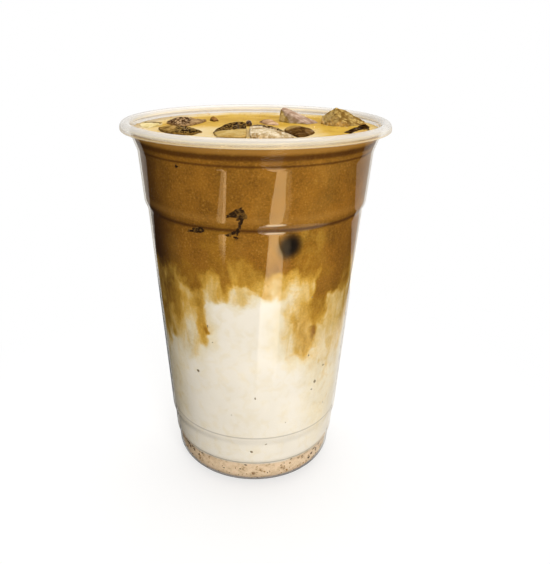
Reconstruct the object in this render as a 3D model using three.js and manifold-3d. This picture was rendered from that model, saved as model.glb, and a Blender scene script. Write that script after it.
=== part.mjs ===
// An iced biscuit latte in its clear plastic cup: a thin cup with a rolled rim, biscuit crumbs settled on its
// floor, milk over them, coffee over the milk, and the ice that shows at the surface.
// Millimetres, +Z up, with the origin at the centre of the base. The side that faces -Y is the front.
import * as THREE from "three";
import { mergeVertices } from "three/addons/utils/BufferGeometryUtils.js";
import Module from "manifold-3d";

const wasm = await Module();
wasm.setup();

// Driving sizes of the cup
const CUP_HEIGHT = 134.6;
const RIM_RADIUS = 47.5;
const WALL = 0.8;
const FLAT_RADIUS = 25;
const FOOT_ROUND = 6;
const TAPER = 0.072;
const UPPER_TAPER = 0.082;

// Small ledges in the wall: where each starts and ends, and how far the wall steps out there
const LEDGES = [
  { low: 9.4, high: 12.2, step: 0.62 },
  { low: 18.8, high: 22.6, step: 0.6 },
  { low: 103.6, high: 107.4, step: 0.95 },
];
const LEDGE_PARTS = 3;

// The flared collar under the rim, and the skirt of the rolled rim
const COLLAR_LOW = 124.6;
const COLLAR_LIP = 125.5;
const COLLAR_STEP = 0.3;
const COLLAR_FLARE = 0.36;
const SKIRT_DROP = 2.9;
const SKIRT_WALL = 0.75;
const RIM_ROUND = 1.9;
const RIM_INNER = 43.6;

// The drink: the level under the rim's crest, the mean heights between its layers, and the clearance
const LEVEL_DROP = 3.4;
const MILK_TOP = 82;
const CRUMB_TOP = 8.2;
const GAP = 0.3;

const SEGMENTS = 54;
const ARC_PARTS = 4;
const LEVEL = CUP_HEIGHT - LEVEL_DROP;
const UPPER_LEDGE = LEDGES[LEDGES.length - 1];

// Where the coffee sinks into the milk (drop above 0) or the milk billows up (drop under 0). The angle is
// counted from the front towards +X, and spread is half the width, both in degrees.
const TONGUES = [
  { angle: -52, spread: 13, drop: 22 },
  { angle: -38, spread: 6, drop: 4 },
  { angle: -28, spread: 6, drop: 19 },
  { angle: -10, spread: 9, drop: -4 },
  { angle: 27, spread: 13, drop: 25 },
  { angle: 52, spread: 14, drop: 5 },
  { angle: 84, spread: 11, drop: 16 },
  { angle: 118, spread: 14, drop: -3 },
  { angle: 142, spread: 9, drop: 20 },
  { angle: 176, spread: 13, drop: 12 },
  { angle: -142, spread: 12, drop: -4 },
  { angle: -112, spread: 12, drop: 21 },
  { angle: -84, spread: 12, drop: 7 },
];

// The ice that shows. Each piece is given by how far it reaches down into the drink, and by the points of its
// top: X, Y and the height above the drink.
const ICE = [
  icePiece("ice_left_edge", 3, [
    [-42.4, 4.2, 0.4], [-40.6, 9.6, 0.9], [-36.6, 8.4, 1], [-33.8, 6.2, 0.8], [-35.8, 2.4, 0.6],
    [-37.2, -3.6, 0.5], [-40.2, -1.6, 0.4],
  ]),
  icePiece("ice_left_long", 6, [
    [-34.4, -3.2, 0.8], [-31, -2.6, 1.3], [-26.6, -6.4, 1.6], [-22.4, -9.4, 1.5], [-17.8, -11.6, 0.5],
    [-20.8, -18, 0.8], [-26.6, -18, 1], [-32.4, -10.9, 0.7],
  ]),
  icePiece("ice_left_dark", 6.5, [
    [-33.4, 10.2, 0.6], [-31.4, 11, 1.8], [-29, 11, 2.4], [-23.8, 14.4, 1.8], [-18.6, 17, 0.7],
    [-19.8, 12, 0.4], [-23, 4.4, 0.7], [-26.4, 0.8, 0.8], [-29.8, 3.8, 0.8],
  ]),
  icePiece("ice_back_small", 3.5, [
    [-18, 18.6, 0.3], [-17.6, 20, 1.2], [-16.4, 20.4, 1.8], [-15, 19.6, 1.4], [-13.8, 17.4, 0.3],
    [-15.8, 15.2, 0.3],
  ]),
  icePiece("ice_middle", 7.5, [
    [-13.9, -6.4, 0.3], [-11.8, -3.6, 1.3], [-9.4, -1.2, 2], [-7, -0.4, 2.4], [-4.6, -0.8, 2.4],
    [-3.1, -3, 2.2], [-2.9, -23.6, 1.2], [-12.6, -22.8, 0.5], [-14.6, -14, 0.3],
  ]),
  icePiece("ice_frosted", 7.5, [
    [-2.2, -6.4, 1.8], [-0.6, -6, 2.3], [2, -7.6, 2.5], [5.2, -9.8, 2.3], [7.8, -12.4, 1.8],
    [9.8, -14.8, 1.2], [11.4, -19, 0.8], [12.6, -23.6, 0.6], [-2, -24, 1.4],
  ]),
  icePiece("ice_back_flat", 5, [
    [1, 15, 0.4], [2.8, 14.8, 1.3], [4.8, 13.6, 1.7], [6.6, 12.4, 1.4], [9, 7.6, 0.4], [7, 6, 0.3],
    [3.6, 8.6, 0.4],
  ]),
  icePiece("ice_tall", 7.5, [
    [8.8, 17.6, 0], [12.6, 12.4, 0], [19.2, 9.2, 0], [23.8, 13.8, 0], [23.2, 16.4, 0.2], [19, 22, 0.8],
    [16.1, 22.4, 2.6], [11.4, 21, 4.9], [10.2, 20, 5.2], [9.3, 18.6, 4.6],
  ]),
  icePiece("ice_smooth", 7.5, [
    [9.4, -5.2, 0.6], [11, -3.4, 1.3], [13.8, -3.8, 1.8], [16.4, -5.4, 1.8], [19, -7.2, 1.3],
    [20.8, -9.8, 0.4], [19.2, -15.6, 0.4], [16.4, -20.4, 0.5], [13.6, -22, 0.6], [12, -17.6, 0.6],
    [10.2, -10.6, 0.6], [14.5, -9, 2],
  ]),
  icePiece("ice_peaked", 8.5, [
    [24.6, 15.6, 0], [25.2, 8.6, 0], [28, 4.4, 0], [32.6, 4.2, 0], [37.8, 7.6, 0], [41.2, 12, 0.6],
    [38, 17, 0.6], [31, 20, 0.4], [26, 18.6, 0.3], [24.9, 12.4, 2.6], [27.3, 12.4, 4.2],
    [29.9, 11.4, 6.4], [30.2, 6.4, 2.9], [33.2, 12, 4.3], [35.8, 12.2, 3.5], [38.8, 12.2, 2.1],
  ]),
  icePiece("ice_right_thin", 5, [
    [29.8, -9.8, 0.2], [33.2, -6.4, 0.9], [36.4, -3.4, 1.7], [38.6, -2.2, 2.1], [40.2, -2.6, 1.1],
    [39.4, -8, 0.5], [36.6, -13, 0.4], [33, -14.6, 0.4],
  ]),
];
const ICE_REACH = 8.5;
const ICE_SLIM = 0.75;

function icePiece(name, depth, top) {
  return { name, depth, top };
}

function smoothStep(low, high, value) {
  return THREE.MathUtils.smoothstep(value, low, high);
}

// Outer radius of the wall at a height from the top of the rounded foot up to the collar
function wallRadius(height) {
  let radius = FLAT_RADIUS + FOOT_ROUND + TAPER * (height - FOOT_ROUND);
  radius += (UPPER_TAPER - TAPER) * Math.max(0, height - UPPER_LEDGE.high);
  for (const ledge of LEDGES) {
    radius += ledge.step * smoothStep(ledge.low, ledge.high, height);
  }
  return radius;
}

// Outer radius of the collar, which flares up to the rim
function collarRadius(height) {
  return wallRadius(COLLAR_LOW) + COLLAR_STEP + COLLAR_FLARE * (height - COLLAR_LIP);
}

// Heights at which a surface along the wall has to have an edge between two heights
function wallHeights(low, high) {
  const heights = [];
  for (const ledge of LEDGES) {
    for (let part = 0; part <= LEDGE_PARTS; part += 1) {
      heights.push(THREE.MathUtils.lerp(ledge.low, ledge.high, part / LEDGE_PARTS));
    }
  }
  heights.push(COLLAR_LOW);
  return heights.filter((height) => height > low && height < high);
}

// Inner radius of the cup at a height above the rounded foot
function innerRadius(height) {
  if (height >= COLLAR_LIP) {
    return collarRadius(height) - WALL;
  }
  const outside = wallRadius(Math.min(height, COLLAR_LOW));
  const share = Math.max(0, (height - COLLAR_LOW) / (COLLAR_LIP - COLLAR_LOW));
  return THREE.MathUtils.lerp(outside, collarRadius(COLLAR_LIP), share) - WALL;
}

// Points of an arc about a centre from one angle to another, in degrees
function arc(centre, radius, from, to) {
  const points = [];
  for (let part = 0; part <= ARC_PARTS; part += 1) {
    const angle = THREE.MathUtils.degToRad(THREE.MathUtils.lerp(from, to, part / ARC_PARTS));
    points.push([centre[0] + radius * Math.cos(angle), centre[1] + radius * Math.sin(angle)]);
  }
  return points;
}

// The cup's section: up its outer side, round the skirt of the rim, over the crest and down its inner side
function cupProfile() {
  const skirtEnd = CUP_HEIGHT - SKIRT_DROP;
  const rimCentre = CUP_HEIGHT - RIM_ROUND;
  const rimUnder = CUP_HEIGHT - SKIRT_WALL;
  const skirtInner = RIM_RADIUS - SKIRT_WALL;
  const heights = wallHeights(FOOT_ROUND, CUP_HEIGHT);
  const outer = heights.map((height) => [wallRadius(height), height]);
  const inner = heights.reverse().map((height) => [wallRadius(height) - WALL, height]);
  return [
    [0, 0],
    ...arc([FLAT_RADIUS, FOOT_ROUND], FOOT_ROUND, -90, 0),
    ...outer,
    [collarRadius(COLLAR_LIP), COLLAR_LIP],
    [collarRadius(skirtEnd), skirtEnd],
    [RIM_INNER + SKIRT_WALL, rimCentre],
    [RIM_INNER + 2 * SKIRT_WALL, rimUnder],
    [skirtInner - SKIRT_WALL, rimUnder],
    [skirtInner, rimCentre],
    [skirtInner, skirtEnd],
    [RIM_RADIUS, skirtEnd],
    ...arc([RIM_RADIUS - RIM_ROUND, rimCentre], RIM_ROUND, 0, 90),
    ...arc([RIM_INNER + RIM_ROUND, rimCentre], RIM_ROUND, 90, 180),
    [collarRadius(LEVEL) - WALL, LEVEL],
    [collarRadius(COLLAR_LIP) - WALL, COLLAR_LIP],
    ...inner,
    ...arc([FLAT_RADIUS, FOOT_ROUND], FOOT_ROUND - WALL, 0, -90),
    [0, WALL],
  ];
}

// A lathe turned about Z, with its shared vertices merged
function lathe(profile) {
  const points = profile.map(([radius, height]) => new THREE.Vector2(radius, height));
  const geometry = new THREE.LatheGeometry(points, SEGMENTS);
  geometry.rotateX(Math.PI / 2);
  return merged(geometry);
}

function merged(geometry) {
  geometry.deleteAttribute("normal");
  geometry.deleteAttribute("uv");
  return mergeVertices(geometry, 1e-4);
}

// A closed solid of rings about Z. Each ring gives [radius, height] at an angle from the front; the first
// and the last ring are a point on the axis. Quads are split alike on faces that go outward and inward, so
// that two layers fit each other.
function ringSolid(rings) {
  const positions = [];
  const triangles = [];
  const inner = rings.slice(1, -1);
  for (const ring of inner) {
    for (let step = 0; step < SEGMENTS; step += 1) {
      const angle = (2 * Math.PI * step) / SEGMENTS;
      const [radius, height] = ring(angle);
      positions.push(radius * Math.sin(angle), -radius * Math.cos(angle), height);
    }
  }
  const bottom = positions.length / 3;
  const top = bottom + 1;
  positions.push(0, 0, rings[0](0)[1], 0, 0, rings.at(-1)(0)[1]);
  for (let step = 0; step < SEGMENTS; step += 1) {
    const next = (step + 1) % SEGMENTS;
    triangles.push(bottom, next, step);
    for (let row = 0; row + 1 < inner.length; row += 1) {
      const low = row * SEGMENTS;
      const high = low + SEGMENTS;
      const inward = inner[row + 1](0)[0] < inner[row](0)[0];
      const [from, to] = inward ? [low + next, high + step] : [low + step, high + next];
      triangles.push(low + step, low + next, to);
      triangles.push(from, high + next, high + step);
    }
    const last = (inner.length - 1) * SEGMENTS;
    triangles.push(last + step, last + next, top);
  }
  const geometry = new THREE.BufferGeometry();
  geometry.setAttribute("position", new THREE.Float32BufferAttribute(positions, 3));
  geometry.setIndex(triangles);
  return geometry;
}

// Height of the border between milk and coffee at an angle and at a share of the radius: flat in the
// middle, and drawn into tongues near the wall
function borderHeight(angle, share) {
  const degrees = THREE.MathUtils.radToDeg(angle);
  let height = MILK_TOP;
  for (const tongue of TONGUES) {
    const away = THREE.MathUtils.euclideanModulo(degrees - tongue.angle + 180, 360) - 180;
    height -= tongue.drop * (1 - smoothStep(0, tongue.spread, Math.abs(away))) * smoothStep(0.5, 1, share);
  }
  return height;
}

// Height of the settled crumbs, a little uneven
function crumbHeight(angle, share) {
  return CRUMB_TOP + share * (0.4 * Math.sin(3 * angle + 1) + 0.25 * Math.sin(7 * angle));
}

// Rings across a layer's face from the axis to the wall, at a height given by angle and share of the radius
function faceRings(heightAt, shares, shift) {
  const rings = [() => [0, heightAt(0, 0) + shift]];
  for (const share of shares) {
    rings.push((angle) => {
      const height = heightAt(angle, share) + shift;
      return [(innerRadius(height) - GAP) * share, height];
    });
  }
  return rings;
}

// Rings up the wall at fixed heights
function wallRings(heights) {
  return heights.map((height) => () => [innerRadius(height) - GAP, height]);
}

const BORDER_SHARES = [0.5, 0.75, 0.88, 1];
const CRUMB_SHARES = [0.5, 1];

function crumbLayer() {
  const floor = WALL + GAP;
  const foot = arc([FLAT_RADIUS, FOOT_ROUND], FOOT_ROUND - floor, -90, 0).map((point) => () => point);
  return ringSolid([() => [0, floor], ...foot, ...faceRings(crumbHeight, CRUMB_SHARES, 0).reverse()]);
}

function milkLayer() {
  const low = faceRings(crumbHeight, CRUMB_SHARES, GAP);
  const wall = wallRings(wallHeights(0, UPPER_LEDGE.low / 2));
  return ringSolid([...low, ...wall, ...faceRings(borderHeight, BORDER_SHARES, -GAP / 2).reverse()]);
}

function coffeeLayer() {
  const low = faceRings(borderHeight, BORDER_SHARES, GAP / 2);
  const wall = wallRings([...wallHeights(UPPER_LEDGE.low - 1, LEVEL), COLLAR_LIP]);
  return ringSolid([...low, ...wall, ...faceRings(() => LEVEL, [1], 0).reverse()]);
}

// The eight corners of a small cube about a point
function cornersAround([x, y, z], reach) {
  const corners = [];
  for (const alongX of [-reach, reach]) {
    for (const alongY of [-reach, reach]) {
      for (const alongZ of [-reach, reach]) {
        corners.push([x + alongX, y + alongY, z + alongZ]);
      }
    }
  }
  return corners;
}

// One piece of ice: the hull of the points of its top and of the same points, drawn in to the middle, under the
// surface. With a clearance it is the room that the piece takes in the coffee.
function iceChunk(piece, clearance) {
  const middle = new THREE.Vector2();
  for (const [x, y] of piece.top) {
    middle.add(new THREE.Vector2(x, y).divideScalar(piece.top.length));
  }
  const points = [];
  for (const [x, y, above] of piece.top) {
    const under = middle.clone().lerp(new THREE.Vector2(x, y), ICE_SLIM);
    points.push([x, y, LEVEL + above], [under.x, under.y, LEVEL - piece.depth]);
  }
  return wasm.Manifold.hull(points.flatMap((point) => cornersAround(point, clearance)));
}

function toSolid(geometry) {
  return new wasm.Manifold(
    new wasm.Mesh({
      numProp: 3,
      vertProperties: new Float32Array(geometry.getAttribute("position").array),
      triVerts: new Uint32Array(geometry.index.array),
    }),
  );
}

function toGeometry(solid) {
  const mesh = solid.getMesh();
  const geometry = new THREE.BufferGeometry();
  geometry.setAttribute("position", new THREE.BufferAttribute(new Float32Array(mesh.vertProperties), 3));
  geometry.setIndex(new THREE.BufferAttribute(new Uint32Array(mesh.triVerts), 1));
  return geometry;
}

// The room inside the cup that ice may fill, with its clearance to the wall
function roomInside() {
  const low = LEVEL - 2 * ICE_REACH;
  const high = CUP_HEIGHT;
  const beyond = CUP_HEIGHT + 10;
  const side = [low, COLLAR_LOW, COLLAR_LIP, high].map((height) => [
    Math.min(innerRadius(height), RIM_INNER) - GAP,
    height,
  ]);
  return toSolid(lathe([[0, low], ...side, [side.at(-1)[0], beyond], [0, beyond]]));
}

const materials = {
  plastic: { color: "#e9e6df", roughness: 0.12, metalness: 0 },
  crumbs: { color: "#c9ae8c", roughness: 0.7, metalness: 0 },
  milk: { color: "#ece2cd", roughness: 0.45, metalness: 0 },
  coffee: { color: "#93601f", roughness: 0.35, metalness: 0 },
  ice: { color: "#a98754", roughness: 0.1, metalness: 0 },
};

const latte = new THREE.Group();

function addPiece(name, geometry, look) {
  const material = new THREE.MeshStandardMaterial(materials[look]);
  const mesh = new THREE.Mesh(geometry, material);
  mesh.name = name;
  latte.add(mesh);
}

const room = roomInside();
let coffee = toSolid(coffeeLayer());
for (const piece of ICE) {
  coffee = coffee.subtract(iceChunk(piece, GAP));
  addPiece(piece.name, toGeometry(iceChunk(piece, 0).intersect(room)), "ice");
}
addPiece("coffee", toGeometry(coffee), "coffee");
addPiece("milk", milkLayer(), "milk");
addPiece("biscuit_crumbs", crumbLayer(), "crumbs");
addPiece("cup", lathe(cupProfile()), "plastic");

export default latte;
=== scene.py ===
import math

import bmesh
import bpy
import numpy as np
from mathutils import Matrix, Vector, noise


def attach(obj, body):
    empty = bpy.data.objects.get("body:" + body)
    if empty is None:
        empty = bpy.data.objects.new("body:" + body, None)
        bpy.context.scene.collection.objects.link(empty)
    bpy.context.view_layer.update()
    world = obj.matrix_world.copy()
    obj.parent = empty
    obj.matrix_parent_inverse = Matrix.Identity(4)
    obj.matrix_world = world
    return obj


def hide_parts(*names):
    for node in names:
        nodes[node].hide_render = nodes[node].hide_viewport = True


MM = 0.001
BODY = "root"

# The cup, as in the part's source
CUP_HEIGHT = 134.6
RIM_RADIUS = 47.5
WALL = 0.8
FLAT_RADIUS = 25.0
FOOT_ROUND = 6.0
TAPER = 0.072
UPPER_TAPER = 0.082
LEDGES = ((9.4, 12.2, 0.62), (18.8, 22.6, 0.6), (103.6, 107.4, 0.95))
COLLAR_LOW = 124.6
COLLAR_LIP = 125.5
COLLAR_STEP = 0.3
COLLAR_FLARE = 0.36
SKIRT_DROP = 2.9
SKIRT_WALL = 0.75
RIM_ROUND = 1.9
RIM_INNER = 43.6

# The drink
LEVEL = CUP_HEIGHT - 3.4
MILK_TOP = 82.0
CRUMB_TOP = 8.2
INTO_WALL = 0.15
TURN_STEPS = 256

# Where the coffee sinks into the milk, or the milk billows up: angle from the front towards +X, half the
# width, both in degrees, and the drop in millimetres
TONGUES = (
    (-52, 13, 22),
    (-38, 6, 4),
    (-28, 6, 19),
    (-10, 9, -4),
    (27, 13, 25),
    (52, 14, 5),
    (84, 11, 16),
    (118, 14, -3),
    (142, 9, 20),
    (176, 13, 12),
    (-142, 12, -4),
    (-112, 12, 21),
    (-84, 12, 7),
)

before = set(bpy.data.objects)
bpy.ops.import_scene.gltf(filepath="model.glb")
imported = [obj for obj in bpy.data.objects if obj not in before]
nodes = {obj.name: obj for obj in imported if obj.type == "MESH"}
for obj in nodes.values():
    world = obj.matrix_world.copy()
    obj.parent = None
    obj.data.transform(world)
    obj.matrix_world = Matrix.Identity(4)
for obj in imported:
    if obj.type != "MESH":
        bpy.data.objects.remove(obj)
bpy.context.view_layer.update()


# Shapes of the cup and of the layers


def smooth_step(low, high, value):
    share = np.clip((np.asarray(value, float) - low) / (high - low), 0.0, 1.0)
    return share * share * (3.0 - 2.0 * share)


def wall_radius(height):
    """Outer radius of the wall from the top of the rounded foot up to the collar."""
    height = np.asarray(height, float)
    radius = FLAT_RADIUS + FOOT_ROUND + TAPER * (height - FOOT_ROUND)
    radius = radius + (UPPER_TAPER - TAPER) * np.maximum(0.0, height - LEDGES[-1][1])
    for low, high, step in LEDGES:
        radius = radius + step * smooth_step(low, high, height)
    return radius


def collar_radius(height):
    return wall_radius(COLLAR_LOW) + COLLAR_STEP + COLLAR_FLARE * (height - COLLAR_LIP)


def inner_radius(height):
    """Inner radius of the cup above the rounded foot."""
    height = np.asarray(height, float)
    below = wall_radius(np.minimum(height, COLLAR_LOW))
    share = np.clip((height - COLLAR_LOW) / (COLLAR_LIP - COLLAR_LOW), 0.0, 1.0)
    joined = below + (collar_radius(COLLAR_LIP) - below) * share
    return np.where(height >= COLLAR_LIP, collar_radius(height), joined) - WALL


def arc(centre, radius, start, end, parts):
    angles = np.radians(np.linspace(start, end, parts + 1))
    return [(centre[0] + radius * math.cos(a), centre[1] + radius * math.sin(a)) for a in angles]


def wall_heights(low, high, parts):
    heights = []
    for ledge_low, ledge_high, _ in LEDGES:
        heights += [ledge_low - 0.6, *np.linspace(ledge_low, ledge_high, parts + 1), ledge_high + 0.6]
    for between in ((22.6, 103.6, 9), (107.4, 124.6, 3), (12.2, 18.8, 2)):
        heights += list(np.linspace(*between))[1:-1]
    heights += [COLLAR_LOW - 0.6, COLLAR_LOW]
    return sorted(height for height in heights if low < height < high)


def cup_profile():
    """The cup's section, from the middle of its base up the outer side, over the rim and down inside."""
    skirt_end = CUP_HEIGHT - SKIRT_DROP
    rim_centre = CUP_HEIGHT - RIM_ROUND
    rim_under = CUP_HEIGHT - SKIRT_WALL
    skirt_inner = RIM_RADIUS - SKIRT_WALL
    heights = wall_heights(FOOT_ROUND, COLLAR_LOW + 0.01, 8)
    points = [(0.0, 0.0), (12.0, 0.0)]
    points += arc((FLAT_RADIUS, FOOT_ROUND), FOOT_ROUND, -90, 0, 10)
    points += [(float(wall_radius(height)), height) for height in heights]
    points += [(float(collar_radius(height)), height) for height in (COLLAR_LIP, 128.6, skirt_end)]
    points += [(RIM_INNER + SKIRT_WALL, rim_centre), (RIM_INNER + 2 * SKIRT_WALL, rim_under)]
    points += [(skirt_inner - SKIRT_WALL, rim_under), (skirt_inner, rim_centre)]
    points += [(skirt_inner, skirt_end + 0.15), (skirt_inner + 0.15, skirt_end)]
    points += [(RIM_RADIUS - 0.2, skirt_end), (RIM_RADIUS, skirt_end + 0.2)]
    points += arc((RIM_RADIUS - RIM_ROUND, rim_centre), RIM_ROUND, 0, 90, 9)
    points += arc((RIM_INNER + RIM_ROUND, rim_centre), RIM_ROUND, 90, 180, 9)
    points += [(float(inner_radius(height)), height) for height in (LEVEL, 128.6, COLLAR_LIP)]
    points += [(float(inner_radius(height)), height) for height in reversed(heights)]
    points += arc((FLAT_RADIUS, FOOT_ROUND), FOOT_ROUND - WALL, 0, -90, 10)
    points += [(12.0, WALL), (0.0, WALL)]
    return points


def border_height(angle, share):
    """Height between milk and coffee at an angle in radians and a share of the radius."""
    degrees = np.degrees(angle)
    height = np.full(np.shape(degrees), MILK_TOP)
    for at, spread, drop in TONGUES:
        away = np.abs((degrees - at + 180.0) % 360.0 - 180.0)
        height = height - drop * (1.0 - smooth_step(0.0, spread, away)) * smooth_step(0.5, 1.0, share)
    return height


def crumb_height(angle, share):
    return CRUMB_TOP + share * (0.4 * np.sin(3 * angle + 1) + 0.25 * np.sin(7 * angle))


# Making meshes


def link_mesh(name, points, faces):
    """A new object from points in millimetres."""
    mesh = bpy.data.meshes.new(name)
    mesh.from_pydata([tuple(p) for p in np.asarray(points, float) * MM], [], faces)
    mesh.validate()
    mesh.update()
    made = bpy.data.objects.new(name, mesh)
    bpy.context.scene.collection.objects.link(made)
    return made


def shade_smooth(piece, crease=35.0):
    """Smooth shading, with creases where faces turn by more than an angle."""
    piece.data.shade_smooth()
    piece.data.set_sharp_from_angle(angle=math.radians(crease))


def ring_solid(name, rings):
    """A closed solid of rings about Z, each an array of points in step with the others; the first and the last
    ring close at the mean of their points."""
    steps = len(rings[0])
    points = [point for ring in rings for point in ring]
    faces = []
    for row in range(len(rings) - 1):
        for step in range(steps):
            after = (step + 1) % steps
            low = row * steps
            high = low + steps
            faces.append((low + step, low + after, high + after, high + step))
    first = len(points)
    points += [np.mean(rings[0], axis=0), np.mean(rings[-1], axis=0)]
    last = (len(rings) - 1) * steps
    for step in range(steps):
        after = (step + 1) % steps
        faces.append((first, after, step))
        faces.append((last + step, last + after, first + 1))
    return link_mesh(name, points, faces)


def ring_at(radius, height, steps=TURN_STEPS):
    """One ring of points; radius and height are numbers or arrays over the turn."""
    angle = turn_angles(steps)
    radius = np.broadcast_to(radius, angle.shape)
    height = np.broadcast_to(height, angle.shape)
    return np.stack([radius * np.sin(angle), -radius * np.cos(angle), height], axis=1)


def turn_angles(steps=TURN_STEPS):
    return 2.0 * math.pi * np.arange(steps) / steps


# Node trees: one small class wraps a socket, so that sums on it read as sums


class Wire:
    def __init__(self, tree, socket):
        self.tree = tree
        self.socket = socket

    def node(self, kind, settings=None, **inputs):
        return self.tree.node(kind, settings, **inputs)

    def math(self, operation, *values):
        return self.tree.math(operation, self, *values)

    def __add__(self, other):
        return self.math("ADD", other)

    __radd__ = __add__

    def __mul__(self, other):
        return self.math("MULTIPLY", other)

    __rmul__ = __mul__

    def __sub__(self, other):
        return self.math("SUBTRACT", other)

    def __rsub__(self, other):
        return self.tree.math("SUBTRACT", other, self)

    def __truediv__(self, other):
        return self.math("DIVIDE", other)

    def __pow__(self, other):
        return self.math("POWER", other)

    def __neg__(self):
        return self.math("MULTIPLY", -1.0)


class Tree:
    """Adds nodes to a shader or geometry tree."""

    def __init__(self, tree):
        self.tree = tree

    def node(self, kind, settings=None, **inputs):
        made = self.tree.nodes.new(kind)
        for name, value in (settings or {}).items():
            if name == "stops":
                self.set_stops(made.color_ramp, value)
            else:
                setattr(made, name, value)
        for name, value in inputs.items():
            self.feed(made.inputs[int(name[1:])] if name[:1] == "i" and name[1:].isdigit() else made.inputs[name],
                      value)
        return made

    @staticmethod
    def set_stops(ramp, stops):
        while len(ramp.elements) < len(stops):
            ramp.elements.new(1.0)
        for element, (place, colour) in zip(ramp.elements, stops):
            element.position = place
            element.color = (*colour, 1.0)

    def feed(self, socket, value):
        if isinstance(value, Wire):
            self.tree.links.new(value.socket, socket)
        elif hasattr(value, "is_output"):
            self.tree.links.new(value, socket)
        else:
            socket.default_value = value

    def wire(self, node, output=0):
        return Wire(self, node.outputs[output])

    def math(self, operation, *values, clamp=False):
        made = self.tree.nodes.new("ShaderNodeMath")
        made.operation = operation
        made.use_clamp = clamp
        for socket, value in zip(made.inputs, values):
            self.feed(socket, value)
        return self.wire(made)

    def step(self, value, low, high, start=0.0, end=1.0):
        """A smooth step of value from low to high."""
        made = self.node(
            "ShaderNodeMapRange",
            {"interpolation_type": "SMOOTHSTEP"},
            **{"Value": value, "From Min": low, "From Max": high, "To Min": start, "To Max": end},
        )
        return self.wire(made)

    def blend(self, share, first, second, kind="MIX"):
        """A mix of two colours."""
        made = self.node("ShaderNodeMix", {"data_type": "RGBA", "blend_type": kind})
        self.feed(made.inputs[0], share)
        self.feed(made.inputs[6], first)
        self.feed(made.inputs[7], second)
        return self.wire(made, 2)

    def ramp(self, value, stops):
        made = self.node("ShaderNodeValToRGB", {"stops": stops}, Fac=value)
        return self.wire(made)

    def noise(self, vector, scale, detail=2.0, rough=0.5, warp=0.0, output=0):
        made = self.node(
            "ShaderNodeTexNoise",
            None,
            Vector=vector,
            Scale=scale,
            Detail=detail,
            Roughness=rough,
            Distortion=warp,
        )
        return self.wire(made, output)


def linear(red, green, blue):
    """A colour given as 0 to 255 on screen, as the shader's values."""
    return tuple(linear_part(part / 255.0) for part in (red, green, blue))


def linear_part(part):
    return part / 12.92 if part <= 0.04045 else ((part + 0.055) / 1.055) ** 2.4


def rgba(red, green, blue):
    return (*linear(red, green, blue), 1.0)


def new_material(name):
    material = bpy.data.materials.new(name)
    material.use_nodes = True
    material.node_tree.nodes.clear()
    return material, Tree(material.node_tree)


def to_surface(tree, shader):
    tree.node("ShaderNodeOutputMaterial", None, Surface=shader)


def object_place(tree):
    return tree.wire(tree.node("ShaderNodeTexCoord"), 3)


def place_parts(tree, place):
    """X, Y and Z of a place in millimetres."""
    parts = tree.node("ShaderNodeSeparateXYZ", None, Vector=place)
    return [tree.wire(parts, axis) * (1.0 / MM) for axis in range(3)]


# The drink's colours at the wall

MILK_TONES = (
    (0.0, linear(248, 241, 228)),
    (0.15, linear(241, 228, 198)),
    (0.3, linear(228, 197, 130)),
    (0.44, linear(213, 169, 78)),
    (0.6, linear(190, 144, 54)),
    (0.78, linear(160, 112, 34)),
    (1.0, linear(147, 99, 31)),
)

# Clouds of coffee in the milk and of milk in the coffee, painted one over the other: angle in degrees, height,
# half the width in degrees, half the height in millimetres, and the tone from 0, milk, to 1, coffee
CLOUDS = (
    (-62, 48, 14, 26, 0.12),
    (50, 44, 16, 24, 0.14),
    (40, 68, 26, 15, 0.25),
    (-40, 69, 15, 12, 0.26),
    (28, 97, 9, 9, 0.7),
    (-18, 99, 8, 7, 0.82),
    (-8, 91, 7, 4.5, 0.72),
    (-38, 86, 6, 4, 0.84),
    (-54, 75, 9, 8.5, 0.68),
    (-54, 65, 8, 4.5, 0.42),
    (-67, 72, 7, 14, 0.56),
    (-48, 77, 5, 6, 0.64),
    (-39, 76, 5, 6, 0.4),
    (-36, 66, 4, 7, 0.24),
    (-33, 83.5, 4.5, 3.2, 0.8),
    (-31, 79, 3.5, 3, 0.5),
    (-29.8, 69, 3, 7.5, 0.5),
    (-27.2, 67.5, 1.2, 2.2, 0.7),
    (-21.5, 84, 5.5, 5.5, 0.36),
    (-14.2, 85.5, 2.6, 4.8, 0.68),
    (-7, 81.5, 6.5, 4.6, 0.25),
    (-4, 89, 9, 3.4, 0.6),
    (3, 85.5, 4, 2.5, 0.5),
    (13, 85, 9, 4.2, 0.34),
    (20, 71, 5, 13, 0.22),
    (28, 70, 6, 11.5, 0.45),
    (53, 73, 11.5, 10, 0.3),
    (62, 67, 7, 11, 0.36),
    (50, 84.5, 12, 4.2, 1.0),
    (39, 80.5, 4.5, 5.5, 1.0),
    (37.5, 74, 5, 5.5, 0.7),
    (33.6, 65, 3, 3, 0.8),
    (30, 61, 4.6, 5, 0.46),
    (30.5, 80.5, 3, 2.4, 0.36),
    (61, 81, 7, 4.2, 0.66),
    (52, 57, 12, 7, 0.24),
    (84, 74, 11, 16, 0.66),
    (118, 83, 14, 6, 0.12),
    (142, 72, 8, 18, 0.68),
    (158, 79, 8, 6, 0.4),
    (176, 76, 12, 12, 0.6),
    (-142, 83, 13, 6, 0.1),
    (-126, 78, 8, 7, 0.42),
    (-112, 72, 11, 19, 0.66),
    (-88, 78, 10, 8, 0.45),
)


def turned_angle(tree, x, y):
    """Degrees from the front towards +X."""
    return tree.math("ARCTAN2", x, -y) * (180.0 / math.pi)


def away_from(tree, degrees, at):
    return tree.math("WRAP", degrees - at, 180.0, -180.0)


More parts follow.
